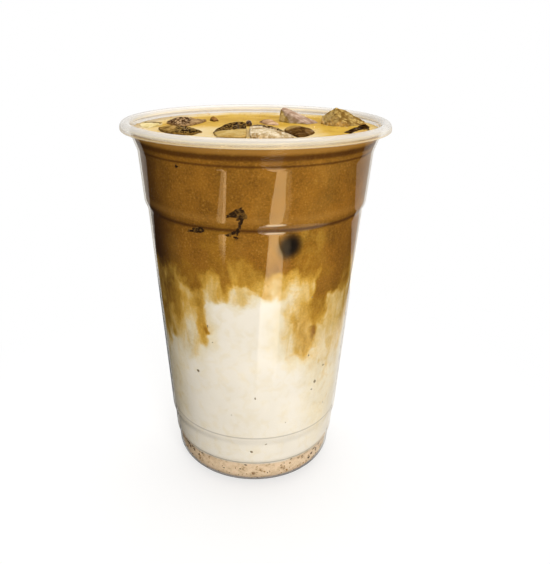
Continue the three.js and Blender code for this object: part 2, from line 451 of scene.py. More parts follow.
def coffee_share(tree, place, x, y, z):
    """How much coffee there is in the milk at the wall, from 0 to 1."""
    bend = tree.node("ShaderNodeSeparateColor", None, Color=tree.noise(place, 85.0, 2.0, 0.55, 0.5, output=1))
    curl = tree.node("ShaderNodeSeparateColor", None, Color=tree.noise(place, 260.0, 2.0, 0.5, 0.6, output=1))
    wisp = tree.node("ShaderNodeSeparateColor", None, Color=tree.noise(place, 800.0, 2.0, 0.55, 0.6, output=1))
    degrees = turned_angle(tree, x, y) + (tree.wire(bend, 0) - 0.5) * 9.0 + (tree.wire(curl, 0) - 0.5) * 4.8
    degrees = degrees + (tree.wire(wisp, 0) - 0.5) * 1.0
    height = z + (tree.wire(bend, 1) - 0.5) * 8.0 + (tree.wire(curl, 1) - 0.5) * 4.6
    height = height + (tree.wire(wisp, 1) - 0.5) * 1.6
    share = tree.step(height, 78.5, 92.5)
    for at, middle, wide, tall, tone in CLOUDS:
        across = away_from(tree, degrees, at) * (1.0 / wide)
        up = (height - middle) * (1.0 / tall)
        cover = tree.step(across * across + up * up, 0.0, 2.4, 1.0, 0.0)
        share = share + (tone - share) * cover
    drawn = tree.node("ShaderNodeVectorMath", {"operation": "MULTIPLY"}, i0=place, i1=(1.0, 1.0, 0.4))
    marble = tree.noise(tree.wire(drawn), 230.0, 2.0, 0.5, 0.8)
    between_tones = tree.math("MAXIMUM", share * (1.15 - share), 0.0)
    mottle = tree.math("MAXIMUM", tree.wire(curl, 2) - 0.46, 0.0) * 0.3
    return share + (marble - 0.5) * between_tones * 1.6 + mottle


def band(tree, value, middle, half):
    """1 in the middle of a narrow band, 0 outside it."""
    return tree.step(tree.math("ABSOLUTE", value - middle), 0.0, half, 1.0, 0.0)


def wall_colour(tree, place, x, y, z):
    """The drink as it shows through the wall."""
    share = coffee_share(tree, place, x, y, z)
    colour = tree.ramp(share, MILK_TONES)
    degrees = turned_angle(tree, x, y)
    flecks = tree.noise(place, 1500.0, 2.0, 0.6)
    clouds = tree.noise(place, 75.0, 3.0, 0.55, 0.4)
    light = 1.0 + (flecks - 0.5) * 1.2 * share + (clouds - 0.5) * 1.3 * (share + 0.1)
    grey = tree.node("ShaderNodeCombineColor", None, Red=light, Green=light, Blue=light)
    colour = tree.blend(1.0, colour, tree.wire(grey), "MULTIPLY")
    gold = tree.step(flecks, 0.58, 0.76) * 0.4 + tree.step(tree.noise(place, 42.0, 2.0, 0.6, 0.5), 0.48, 0.66) * 0.15
    gold = gold * tree.step(share, 0.5, 0.9)
    colour = tree.blend(gold, colour, rgba(196, 148, 66))
    # Painted shade: the drink is darkened towards the left side, more so near the top, and towards the right side,
    # where less light falls
    left = tree.step(tree.math("ABSOLUTE", degrees + 72.0), 8.0, 38.0, 0.88, 0.0) * tree.step(z, 64.0, 86.0, 0.35, 1.0)
    left = left * tree.step(z, 105.0, 114.0, 1.12, 0.8)
    right = tree.step(tree.math("ABSOLUTE", degrees - 56.0), 4.0, 24.0, 0.22, 0.0)
    colour = tree.blend((left + right) * tree.step(share, 0.2, 0.9), colour, rgba(70, 40, 12))
    # Painted shade: a dark patch where ice sunk in the coffee presses on the wall and the pocket behind it gets little
    # light
    across = (degrees - 17.0) * (1.0 / 7.0)
    up = (z - 99.0 + (clouds - 0.5) * 3.0) * (1.0 / 4.6)
    sunk = tree.step(across * across + up * up, 0.1, 1.4, 1.0, 0.0)
    colour = tree.blend(sunk, colour, rgba(26, 19, 13))
    sediment = tree.step(z + (clouds - 0.5) * 2.0, 9.4, 10.6, 1.0, 0.0)
    crumbs = tree.ramp(
        tree.noise(place, 420.0, 3.0, 0.65),
        (
            (0.30, linear(140, 106, 72)),
            (0.42, linear(228, 200, 164)),
            (0.58, linear(244, 220, 190)),
            (0.74, linear(240, 200, 164)),
        ),
    )
    colour = tree.blend(sediment, colour, crumbs)
    # Painted shade: darker brown at the very foot
    colour = tree.blend(tree.step(z, 0.6, 3.6, 0.4, 0.0), colour, rgba(110, 80, 48))
    return colour, share, sediment


def drink_wall_material():
    material, tree = new_material("drink_through_wall")
    place = object_place(tree)
    x, y, z = place_parts(tree, place)
    colour, share, sediment = wall_colour(tree, place, x, y, z)
    # A paler amber band just under the level, and a painted highlight along the top of the upper ledge
    bright = band(tree, z, 130.7, 2.1) * 0.95 + band(tree, z, 108.3, 2.2) * 0.22
    colour = tree.blend(bright, colour, rgba(192, 140, 66))
    # Painted shade: dark lines at the foot ledges, the upper ledge and the collar steps, where the wall's steps darken
    # what shows through
    painted_ledge_shade = band(tree, z, 22.9, 0.45) * 0.38 + band(tree, z, 10.6, 0.5) * 0.5 + band(tree, z, 104.8, 1.2) * 0.8
    painted_ledge_shade = painted_ledge_shade + tree.step(tree.math("ABSOLUTE", z - 128.2), 0.3, 1.5, 0.8, 0.0) + band(tree, z, 125.5, 0.7) * 0.75
    colour = tree.blend(painted_ledge_shade, colour, rgba(76, 42, 12))
    # Painted highlight: two bright lines on the upper ledge where the window is mirrored
    painted_ledge_glint = tree.step(tree.math("ABSOLUTE", turned_angle(tree, x, y) - 9.5), 3.5, 5.5, 0.7, 0.0)
    painted_ledge_glint = painted_ledge_glint * (band(tree, z, 106.8, 0.5) + band(tree, z, 103.9, 0.5))
    colour = tree.blend(painted_ledge_glint, colour, rgba(246, 222, 184))
    shader = tree.node(
        "ShaderNodeBsdfPrincipled",
        None,
        **{"Base Color": colour, "Roughness": 0.6, "Specular IOR Level": 0.0},
    )
    to_surface(tree, tree.wire(shader))
    return material


def drink_top_material():
    """Golden crema, paler along the wall and between the pieces of ice in front."""
    material, tree = new_material("coffee_crema")
    place = object_place(tree)
    x, y, z = place_parts(tree, place)
    swirl = tree.noise(place, 90.0, 3.0, 0.55, 1.2)
    radius = tree.math("SQRT", x * x + y * y)
    cream = tree.step(radius, 35.0, 43.5) * 0.7 + tree.step(y, 9.0, -5.0) * tree.step(x, 19.0, 27.0, 0.8, 0.1)
    cream = cream + tree.step(x, -8.0, -30.0) * tree.step(y, 4.0, 16.0) * 0.3 + tree.step(y, 30.0, 40.0) * 0.3
    colour = tree.ramp(
        cream * 0.72 + (swirl - 0.5) * 0.9 + 0.1,
        (
            (0.0, linear(184, 142, 44)),
            (0.25, linear(204, 164, 60)),
            (0.5, linear(212, 180, 106)),
            (0.75, linear(216, 192, 140)),
            (1.0, linear(220, 202, 170)),
        ),
    )
    shade = tree.step(radius, 39.5, 43.0) * tree.step(x, -18.0, -36.0) * 0.55
    colour = tree.blend(shade, colour, rgba(160, 136, 100))
    fine = tree.noise(place, 900.0, 2.0, 0.6)
    bump = tree.node("ShaderNodeBump", None, Strength=0.2, Distance=0.0003, Height=fine)
    shader = tree.node(
        "ShaderNodeBsdfPrincipled",
        None,
        **{"Base Color": colour, "Roughness": 0.5, "Specular IOR Level": 0.03, "Normal": tree.wire(bump)},
    )
    to_surface(tree, tree.wire(shader))
    return material


def facing_gloss(tree, normal=None):
    """Share of light that a clear surface mirrors: little when faced, most at a glancing angle."""
    facing = tree.node("ShaderNodeLayerWeight", None, Blend=0.5)
    if normal is not None:
        tree.feed(facing.inputs["Normal"], normal)
    return tree.wire(facing, 1) ** 5.0 * 0.96 + 0.04


def cup_material():
    """Thin clear plastic, hazy at the rolled rim, where streaks run round with it; the haze carries painted light: a
    warm glow from the drink under the crest and painted highlight lines at the crest and the lip.
    """
    material, tree = new_material("clear_plastic")
    place = object_place(tree)
    x, y, z = place_parts(tree, place)
    radius = tree.math("SQRT", x * x + y * y)
    along = tree.node("ShaderNodeCombineXYZ", None, X=x * 0.02, Y=y * 0.02, Z=z * 1.5 + radius * 1.1)
    streaks = tree.noise(tree.wire(along), 1.0, 2.0, 0.5)
    at_rim = tree.step(z, 131.3, 131.7)
    crest = tree.step(z, 132.4, 134.0, 0.0, 0.34)
    # The lip band is real haze and also a painted highlight line
    lip_haze_and_highlight = band(tree, z, 132.0, 0.35) * tree.step(radius, 45.8, 46.2) * 0.4
    inner = tree.step(radius, 45.2, 44.6) * tree.step(y, 5.0, 25.0) * 0.2
    haze = at_rim * (0.16 + crest + lip_haze_and_highlight + inner + (streaks - 0.5) * 0.8) + 0.004
    haze = haze + tree.step(z, 0.4, 3.5, 0.5, 0.0)
    # Painted light: a warm glow from the drink in the haze under the crest, and painted highlight lines at the crest
    # and the lip
    painted_drink_glow = tree.step(z, 132.4, 133.0, 1.0, 0.0) * tree.step(radius, 44.6, 45.4)
    glow = tree.blend(painted_drink_glow, rgba(230, 225, 218), rgba(250, 222, 172))
    glow = tree.blend(band(tree, z, 133.2, 0.5), glow, rgba(255, 244, 216))
    glow = tree.blend(tree.math("MINIMUM", lip_haze_and_highlight * 2.4, 1.0), glow, rgba(250, 226, 178))
    glow = tree.blend(tree.step(z, 8.0, 20.0, 1.0, 0.0), glow, rgba(178, 142, 106))
    clear = tree.node("ShaderNodeBsdfTransparent", None, Color=(0.965, 0.96, 0.945, 1.0))
    white = tree.node("ShaderNodeBsdfDiffuse", None, Color=glow)
    body = tree.node("ShaderNodeMixShader", None, i0=haze, i1=tree.wire(clear), i2=tree.wire(white))
    gloss = tree.node("ShaderNodeBsdfGlossy", None, Color=(1.0, 1.0, 1.0, 1.0), Roughness=0.04)
    dull_collar = tree.step(z, 124.4, 125.6) * tree.step(z, 130.9, 131.6, 0.8, 0.0)
    side = tree.step(tree.math("ABSOLUTE", turned_angle(tree, x, y)), 46.0, 62.0, 1.0, 0.15)
    shine = facing_gloss(tree) * (1.0 - dull_collar * side)
    whole = tree.node("ShaderNodeMixShader", None, i0=shine, i1=tree.wire(body), i2=tree.wire(gloss))
    to_surface(tree, tree.wire(whole))
    return material


# How each piece of ice looks: the dark and the light of its pitted part and of its plain part, the cells to a
# metre and the depth of the net of pits, how white the plain part is with frost and painted highlight, how dark the
# painted shade at its edges and waterline is, and where the pitted part starts: a direction in degrees from +X towards
# +Y, and the distance along it
ICE_LOOKS = {
    "ice_left_long": ((38, 24, 8), (148, 116, 60), (104, 78, 34), (178, 142, 78), 1300.0, 1.0, 0.0, 0.6, 0, -27.0),
    "ice_left_dark": ((62, 38, 16), (184, 150, 108), (112, 82, 50), (176, 144, 100), 900.0, 0.6, 0.0, 0.4, 180, 24.0),
    "ice_left_edge": ((70, 52, 16), (136, 108, 50), (206, 184, 120), (232, 216, 168), 700.0, 0.4, 0.0, 0.2, 63, -12.0),
    "ice_back_small": ((96, 58, 22), (150, 104, 52), (70, 42, 16), (150, 104, 50), 600.0, 0.3, 0.0, 0.7, 90, 90.0),
    "ice_middle": ((34, 20, 6), (136, 104, 52), (172, 140, 74), (196, 168, 106), 1200.0, 1.0, 0.0, 0.5, 90, -14.0),
    "ice_frosted": ((46, 28, 10), (176, 146, 100), (154, 126, 82), (208, 186, 146), 1200.0, 0.8, 0.5, 0.3, 50, -8.0),
    "ice_back_flat": ((96, 60, 32), (188, 150, 118), (166, 128, 92), (214, 178, 142), 480.0, 0.4, 0.0, 0.3, 90, 12.6),
    "ice_tall": ((150, 120, 98), (204, 178, 156), (146, 118, 58), (196, 170, 104), 420.0, 0.2, 0.1, 0.4, 20, 12.0),
    "ice_smooth": ((138, 108, 52), (170, 138, 78), (58, 35, 12), (122, 88, 42), 400.0, 0.2, 0.0, 0.3, 100, -11.5),
    "ice_peaked": ((124, 92, 40), (208, 176, 104), (172, 130, 60), (218, 182, 108), 620.0, 0.3, 0.1, 0.45, 90, 5.5),
    "ice_right_thin": ((30, 16, 4), (80, 54, 22), (182, 142, 70), (214, 180, 106), 500.0, 0.4, 0.0, 0.4, 125, -29.0),
}


def ice_material(name, look):
    """Ice wetted by coffee: a pitted dark part, a smoother part, and frost in white veils, which also stand as painted
    highlights; painted shade darkens its edges and its waterline.
    """
    pit_dark, pit_light, plain_dark, plain_light, cells, depth, frost, edge, turn, start = look
    material, tree = new_material(name.replace("ice_", "ice_look_"))
    place = object_place(tree)
    x, y, z = place_parts(tree, place)
    facing = tree.node("ShaderNodeSeparateXYZ", None, Vector=tree.wire(tree.node("ShaderNodeTexCoord"), 1))
    veil = tree.noise(place, 230.0, 4.0, 0.6, 0.9)
    fine = tree.noise(place, 1300.0, 2.0, 0.6)
    crust = tree.noise(place, cells * 0.8, 3.0, 0.65, 0.4)
    pits = tree.node(
        "ShaderNodeTexVoronoi", {"feature": "F1"}, Vector=place, Scale=cells, Randomness=1.0
    )
    net = tree.step(tree.wire(pits), 0.15, 0.75)
    angle = math.radians(turn)
    along = x * math.cos(angle) + y * math.sin(angle) + (veil - 0.5) * 3.0
    rise = tree.wire(facing, 2)
    on_top = tree.step(rise + (veil - 0.5) * 0.3, 0.45, 0.75)
    pitted = on_top * tree.step(along, start - 0.4, start + 0.4)
    pit_mix = tree.step(veil * 0.4 + crust * 0.6 + (0.5 - net) * depth * 0.6, 0.34, 0.66)
    pit = tree.blend(pit_mix, rgba(*pit_dark), rgba(*pit_light))
    plain_mix = tree.step(veil + (fine - 0.5) * 0.4, 0.34, 0.66)
    plain = tree.blend(plain_mix, rgba(*plain_dark), rgba(*plain_light))
    # Frost whitens the plain part, and its white flecks also stand as painted highlights
    frost_and_highlight = tree.step(fine + (veil - 0.5) * 0.5, 0.42, 0.66) * frost
    plain = tree.blend(frost_and_highlight, plain, rgba(240, 230, 210))
    colour = tree.blend(pitted, plain, pit)
    # Painted shade: darker where the top turns into the sides and along the waterline
    edge_shade = band(tree, rise, 0.62, 0.3) + tree.step(z, LEVEL + 0.25, LEVEL + 0.55, 0.8, 0.0)
    colour = tree.blend(tree.math("MINIMUM", edge_shade, 1.0) * edge, colour, rgba(52, 32, 10))
    relief = veil * 0.5 + (1.0 - net) * depth * 0.5 * pitted + fine * 0.15
    bump = tree.node("ShaderNodeBump", None, Strength=0.7, Distance=0.0008, Height=relief)
    glint = tree.step(fine * 0.6 + veil * 0.4, 0.56, 0.62) * 0.5
    shader = tree.node(
        "ShaderNodeBsdfPrincipled",
        None,
        **{
            "Base Color": colour,
            "Roughness": 0.5,
            "Specular IOR Level": 0.0,
            "Coat Weight": glint,
            "Coat Roughness": 0.12,
            "Normal": tree.wire(bump),
        },
    )
    to_surface(tree, tree.wire(shader))
    return material


def sunk_ice_material():
    material, tree = new_material("ice_under_coffee")
    place = object_place(tree)
    veil = tree.noise(place, 520.0, 3.0, 0.6, 0.6)
    # Painted shade: the dark browns stand for the unlit pocket seen through the clear ice, over the coffee's own tint
    colour = tree.ramp(
        veil, ((0.36, linear(34, 20, 8)), (0.5, linear(58, 38, 16)), (0.64, linear(122, 88, 38)))
    )
    shader = tree.node(
        "ShaderNodeBsdfPrincipled",
        None,
        **{"Base Color": colour, "Roughness": 0.6, "Specular IOR Level": 0.0},
    )
    to_surface(tree, tree.wire(shader))
    return material


def crumb_material(name, dark, light):
    material, tree = new_material(name)
    grain = tree.noise(object_place(tree), 900.0, 3.0, 0.6)
    colour = tree.ramp(grain, ((0.35, linear(*dark)), (0.62, linear(*light))))
    bump = tree.node("ShaderNodeBump", None, Strength=0.4, Distance=0.0002, Height=grain)
    shader = tree.node(
        "ShaderNodeBsdfPrincipled",
        None,
        **{"Base Color": colour, "Roughness": 0.7, "Specular IOR Level": 0.1, "Normal": tree.wire(bump)},
    )
    to_surface(tree, tree.wire(shader))
    return material


def bubble_material():
    material, tree = new_material("crema_bubble")
    tint = tree.noise(object_place(tree), 300.0, 1.0, 0.5)
    colour = tree.ramp(tint, ((0.4, linear(196, 150, 74)), (0.6, linear(226, 190, 120))))
    shader = tree.node(
        "ShaderNodeBsdfPrincipled",
        None,
        **{"Base Color": colour, "Roughness": 0.08, "Specular IOR Level": 0.7},
    )
    to_surface(tree, tree.wire(shader))
    return material


# The pieces


def turned_tree():
    """A geometry tree that turns a polyline of the section about Z into a closed skin."""
    group = bpy.data.node_groups.new("turned_about_z", "GeometryNodeTree")
    face = group.interface
    face.new_socket("Section", in_out="INPUT", socket_type="NodeSocketObject")
    face.new_socket("Points", in_out="INPUT", socket_type="NodeSocketInt")
    face.new_socket("Steps", in_out="INPUT", socket_type="NodeSocketInt")
    face.new_socket("Material", in_out="INPUT", socket_type="NodeSocketMaterial")
    face.new_socket("Geometry", in_out="OUTPUT", socket_type="NodeSocketGeometry")
    tree = Tree(group)
    given = group.nodes.new("NodeGroupInput")
    section, points, steps, finish = (tree.wire(given, index) for index in range(4))
    info = tree.node("GeometryNodeObjectInfo", {"transform_space": "ORIGINAL"}, Object=section)
    grid = tree.node("GeometryNodeMeshGrid", None)
    tree.feed(grid.inputs["Vertices X"], steps + 1)
    tree.feed(grid.inputs["Vertices Y"], points)
    index = tree.wire(tree.node("GeometryNodeInputIndex"))
    column = tree.math("FLOOR", (index + 0.5) / points)
    row = index - column * points
    place = tree.node("GeometryNodeInputPosition")
    sample = tree.node("GeometryNodeSampleIndex", {"data_type": "FLOAT_VECTOR", "domain": "POINT"})
    tree.feed(sample.inputs["Geometry"], tree.wire(info, 4))
    tree.feed(sample.inputs[1], tree.wire(place))
    tree.feed(sample.inputs["Index"], row)
    parts = tree.node("ShaderNodeSeparateXYZ", None, Vector=tree.wire(sample))
    radius, height = tree.wire(parts, 0), tree.wire(parts, 2)
    angle = column / steps * (2.0 * math.pi)
    x = radius * tree.math("SINE", angle)
    y = -(radius * tree.math("COSINE", angle))
    moved = tree.node("ShaderNodeCombineXYZ", None, X=x, Y=y, Z=height)
    placed = tree.node("GeometryNodeSetPosition", None, Geometry=tree.wire(grid), Position=tree.wire(moved))
    closed = tree.node("GeometryNodeMergeByDistance", None, Geometry=tree.wire(placed), Distance=0.00002)
    real = tree.node("GeometryNodeRealizeInstances", None, Geometry=tree.wire(closed))
    smooth = tree.node("GeometryNodeSetShadeSmooth", None, Geometry=tree.wire(real))
    coated = tree.node("GeometryNodeSetMaterial", None, Geometry=tree.wire(smooth), Material=finish)
    tree.node("NodeGroupOutput", None, Geometry=tree.wire(coated))
    return group


def set_inputs(modifier, **values):
    """Sets a modifier's inputs by the identifier of each named socket."""
    for item in modifier.node_group.interface.items_tree:
        if item.item_type == "SOCKET" and item.in_out == "INPUT" and item.name in values:
            modifier[item.identifier] = values[item.name]


def made_plain(name, holder):
    """The evaluated result of a holder's modifiers as a plain mesh object; the holder goes."""
    bpy.context.view_layer.update()
    graph = bpy.context.evaluated_depsgraph_get()
    mesh = bpy.data.meshes.new_from_object(holder.evaluated_get(graph), depsgraph=graph)
    mesh.name = name
    made = bpy.data.objects.new(name, mesh)
    bpy.context.scene.collection.objects.link(made)
    bpy.data.objects.remove(holder)
    return made


def turned_piece(name, section, material):
    points = [(radius, 0.0, height) for radius, height in section]
    line = link_mesh(name + "_section", points, [])
    holder = link_mesh(name + "_holder", [(0, 0, 0)], [])
    modifier = holder.modifiers.new("turned", "NODES")
    modifier.node_group = turned_tree()
    set_inputs(modifier, Section=line, Points=len(points), Steps=TURN_STEPS, Material=material)
    made = made_plain(name, holder)
    bpy.data.objects.remove(line)
    return made


def face_out(piece):
    """Recalculates the normals of a closed piece so that they face outwards."""
    work = bmesh.new()
    work.from_mesh(piece.data)
    bmesh.ops.recalc_face_normals(work, faces=work.faces)
    work.to_mesh(piece.data)
    work.free()


def build_cup(material):
    cup = turned_piece("clear_cup", cup_profile(), material)
    face_out(cup)
    shade_smooth(cup, 30.0)
    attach(cup, BODY)
    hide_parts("cup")
    return cup


def border_rings(height_at, shares):
    angle = turn_angles()
    rings = []
    for share in shares:
        height = height_at(angle, share)
        rings.append(ring_at((inner_radius(height) + INTO_WALL) * share, height))
    return rings


BORDER_SHARES = (0.02, 0.5, 0.62, 0.75, 0.88, 1.0)


def build_milk(material):
    low = border_rings(crumb_height, (0.02, 0.5, 1.0))
    wall = [ring_at(inner_radius(h) + INTO_WALL, h) for h in wall_heights(9.2, 52, 6)]
    milk = ring_solid("milk_layer", low + wall + border_rings(border_height, BORDER_SHARES)[::-1])
    milk.data.materials.append(material)
    shade_smooth(milk)
    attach(milk, BODY)
    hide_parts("milk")
    return milk


def build_crumb_layer(material):
    foot = arc((FLAT_RADIUS, FOOT_ROUND), FOOT_ROUND - WALL + INTO_WALL, -90, 0, 8)
    rings = [ring_at(1.0, foot[0][1])] + [ring_at(*point) for point in foot]
    layer = ring_solid("crumb_bed", rings + border_rings(crumb_height, (0.02, 0.5, 1.0))[::-1])
    layer.data.materials.append(material)
    shade_smooth(layer)
    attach(layer, BODY)
    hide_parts("biscuit_crumbs")
    return layer


TOP_SHARES = tuple(np.linspace(0.02, 1.0, 70))


def build_coffee(wall_material, top_material):
    low = border_rings(border_height, BORDER_SHARES)
    wall = [ring_at(inner_radius(h) + INTO_WALL, h) for h in wall_heights(88, 131, 6)]
    wall.append(ring_at(inner_radius(COLLAR_LIP) + INTO_WALL, COLLAR_LIP))
    wall.append(ring_at(inner_radius(LEVEL + 0.4) + INTO_WALL, LEVEL + 0.4))
    top = []
    reach = float(inner_radius(LEVEL)) + INTO_WALL
    for share in TOP_SHARES[::-1]:
        lift = 0.4 * smooth_step(0.965, 1.0, share)
        top.append(ring_at(reach * share, LEVEL + lift))
    coffee = ring_solid("coffee_layer", low + wall + top)
    coffee.data.materials.append(wall_material)
    coffee.data.materials.append(top_material)
    for face in coffee.data.polygons:
        if face.center.z > (LEVEL - 0.3) * MM and face.normal.z > 0.5:
            face.material_index = 1
    shade_smooth(coffee)
    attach(coffee, BODY)
    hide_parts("coffee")
    return coffee


# How far each piece of ice is worked: passes of smoothing, and the height of its rough skin in millimetres
ICE_WORK = {
    "ice_smooth": (22, 0.08),
    "ice_tall": (4, 0.15),
    "ice_peaked": (2, 0.45),
    "ice_back_flat": (14, 0.15),
    "ice_back_small": (8, 0.15),
}
USUAL_WORK = (7, 0.3)
ICE_EDGE = 0.65 * MM


def copy_of_node(name, new_name):
    """A copy of a CAD node's mesh as an object, with its loose triangles merged and cut finer."""
    mesh = nodes[name].data.copy()
    mesh.materials.clear()
    work = bmesh.new()
    work.from_mesh(mesh)
    bmesh.ops.remove_doubles(work, verts=work.verts, dist=0.00001)
    for _ in range(6):
        coarse = [edge for edge in work.edges if edge.calc_length() > ICE_EDGE]
        bmesh.ops.subdivide_edges(work, edges=coarse, cuts=1)
        bmesh.ops.triangulate(work, faces=work.faces)
    passes, rough = ICE_WORK.get(name, USUAL_WORK)
    for _ in range(passes):
        bmesh.ops.smooth_vert(
            work, verts=work.verts, factor=0.4, use_axis_x=True, use_axis_y=True, use_axis_z=True
        )
    work.normal_update()
    for vert in work.verts:
        wide = noise.noise(vert.co / (3.2 * MM))
        close = noise.noise(vert.co / (1.1 * MM))
        vert.co += vert.normal * (wide + 0.5 * close) * rough * MM
    work.to_mesh(mesh)
    work.free()
    made = bpy.data.objects.new(new_name, mesh)
    bpy.context.scene.collection.objects.link(made)
    return made


def build_ice():
    for name, look in ICE_LOOKS.items():
        piece = copy_of_node(name, name.replace("ice_", "wet_ice_"))
        piece.data.materials.append(ice_material(name, look))
        shade_smooth(piece, 40.0)
        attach(piece, BODY)
        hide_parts(name)


def lump(work, angle, height, size, turn, proud, seed, rough=0.25):
    """Adds a flat uneven lump against the inside of the wall: angle and turn in degrees; size is half its width,
    half its height and half its depth in millimetres; proud is how far it may reach into the wall."""
    made = bmesh.ops.create_icosphere(work, subdivisions=3, radius=1.0)["verts"]
    lean = Matrix.Rotation(math.radians(turn), 3, "Y")
    around = Matrix.Rotation(math.radians(angle), 3, "Z")
    for vert in made:
        swell = 1.0 + rough * 2.0 * noise.noise(vert.co * 1.6 + Vector((seed, 0.0, 0.0)))
        local = Vector((vert.co.x * size[0], vert.co.y * size[2], vert.co.z * size[1])) * swell
        local = lean @ local
        tall = height + local.z
        reach = float(inner_radius(tall)) + proud
        local.y -= float(inner_radius(tall))
        flat = math.hypot(local.x, local.y)
        if flat > reach:
            local.x *= reach / flat
            local.y *= reach / flat
        vert.co = (around @ Vector((local.x, local.y, tall))) * MM


def lumps_piece(name, lumps, material, proud, rough=0.25):
    work = bmesh.new()
    for seed, (angle, height, size, turn) in enumerate(lumps):
        lump(work, angle, height, size, turn, proud, seed * 7.3, rough)
    bmesh.ops.recalc_face_normals(work, faces=work.faces)
    mesh = bpy.data.meshes.new(name)
    work.to_mesh(mesh)
    work.free()
    piece = bpy.data.objects.new(name, mesh)
    bpy.context.scene.collection.objects.link(piece)
    mesh.materials.append(material)
    shade_smooth(piece, 60.0)
    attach(piece, BODY)
    return piece


# Ice that is sunk in the coffee and touches the wall: angle, height, half sizes and turn
SUNK_HOOK = (
    (-7.6, 111.3, (2.6, 0.9, 0.6), -26),
    (-10.4, 110.0, (2.0, 0.6, 0.5), -16),
    (-5.2, 110.2, (1.0, 1.7, 0.5), 8),
    (-7.2, 109.6, (1.5, 0.8, 0.4), -20),
    (-6.6, 107.4, (0.7, 1.9, 0.4), 14),
    (-8.0, 105.0, (0.6, 1.6, 0.4), 16),
    (-10.2, 103.9, (1.9, 0.6, 0.4), -18),
    (-12.6, 103.0, (1.1, 0.45, 0.35), 4),
    (-9.2, 102.4, (0.9, 0.5, 0.35), 10),
)
SUNK_SLIVER = ((-27.4, 103.9, (2.5, 0.85, 0.45), -10), (-31.2, 103.0, (2.4, 0.5, 0.35), -8))
SUNK_DOT = ((-36.8, 124.0, (0.7, 0.5, 0.3), 0),)

# Crumbs that hang in the milk at the wall
MILK_CRUMBS = (
    (-35.5, 48.8, (0.7, 0.5, 0.35), 0),
    (40.2, 43.5, (0.6, 0.7, 0.35), 20),
    (38.2, 40.5, (0.5, 0.3, 0.3), 0),
    (0.7, 41.0, (0.35, 0.5, 0.3), 0),
    (33.2, 56.0, (0.4, 0.4, 0.3), 0),
    (46.8, 49.0, (0.6, 0.35, 0.3), 0),
    (-1.5, 16.3, (0.6, 0.5, 0.3), 30),
    (8.2, 19.7, (0.5, 0.3, 0.3), -20),
    (-26.6, 68.6, (0.3, 0.6, 0.3), 10),
    (-24.0, 62.5, (0.25, 0.25, 0.25), 0),
    (32.0, 79.2, (0.5, 0.25, 0.25), -20),
    (20.5, 29.0, (0.25, 0.2, 0.25), 0),
    (-14.0, 33.0, (0.25, 0.2, 0.25), 0),
    (52.0, 31.0, (0.3, 0.25, 0.25), 0),
    (98.0, 44.0, (0.6, 0.5, 0.3), 10),
    (131.0, 38.0, (0.5, 0.4, 0.3), 0),
    (165.0, 52.0, (0.6, 0.35, 0.3), 20),
    (-158.0, 34.0, (0.5, 0.6, 0.3), 0),
    (-121.0, 46.0, (0.5, 0.35, 0.3), -15),
    (-95.0, 30.0, (0.35, 0.35, 0.3), 0),
)

# The larger dark crumbs at the wall over the settled layer
DARK_CRUMBS = (
    (-58.0, 8.8, (0.8, 0.45, 0.3), 0),
    (-56.0, 8.0, (0.5, 0.6, 0.3), 20),
    (-53.0, 9.0, (0.9, 0.35, 0.3), 0),
    (-50.6, 8.0, (0.6, 0.5, 0.3), -20),
    (-44.8, 7.4, (0.6, 0.4, 0.3), 10),
    (-41.0, 9.2, (0.5, 0.3, 0.3), 0),
    (-22.2, 6.2, (0.35, 0.3, 0.25), 0),
    (-9.6, 7.2, (0.45, 0.35, 0.25), 0),
    (-6.0, 9.4, (0.6, 0.35, 0.3), 0),
    (28.0, 9.6, (0.5, 0.3, 0.25), 0),
    (38.0, 8.8, (0.5, 0.35, 0.25), 10),
    (46.0, 6.0, (0.7, 0.5, 0.3), 0),
    (48.6, 7.2, (0.6, 0.6, 0.3), 30),
    (51.5, 8.6, (0.8, 0.35, 0.3), 0),
    (54.4, 7.4, (0.4, 0.7, 0.3), 0),
    (58.0, 8.8, (0.7, 0.35, 0.3), 0),
)


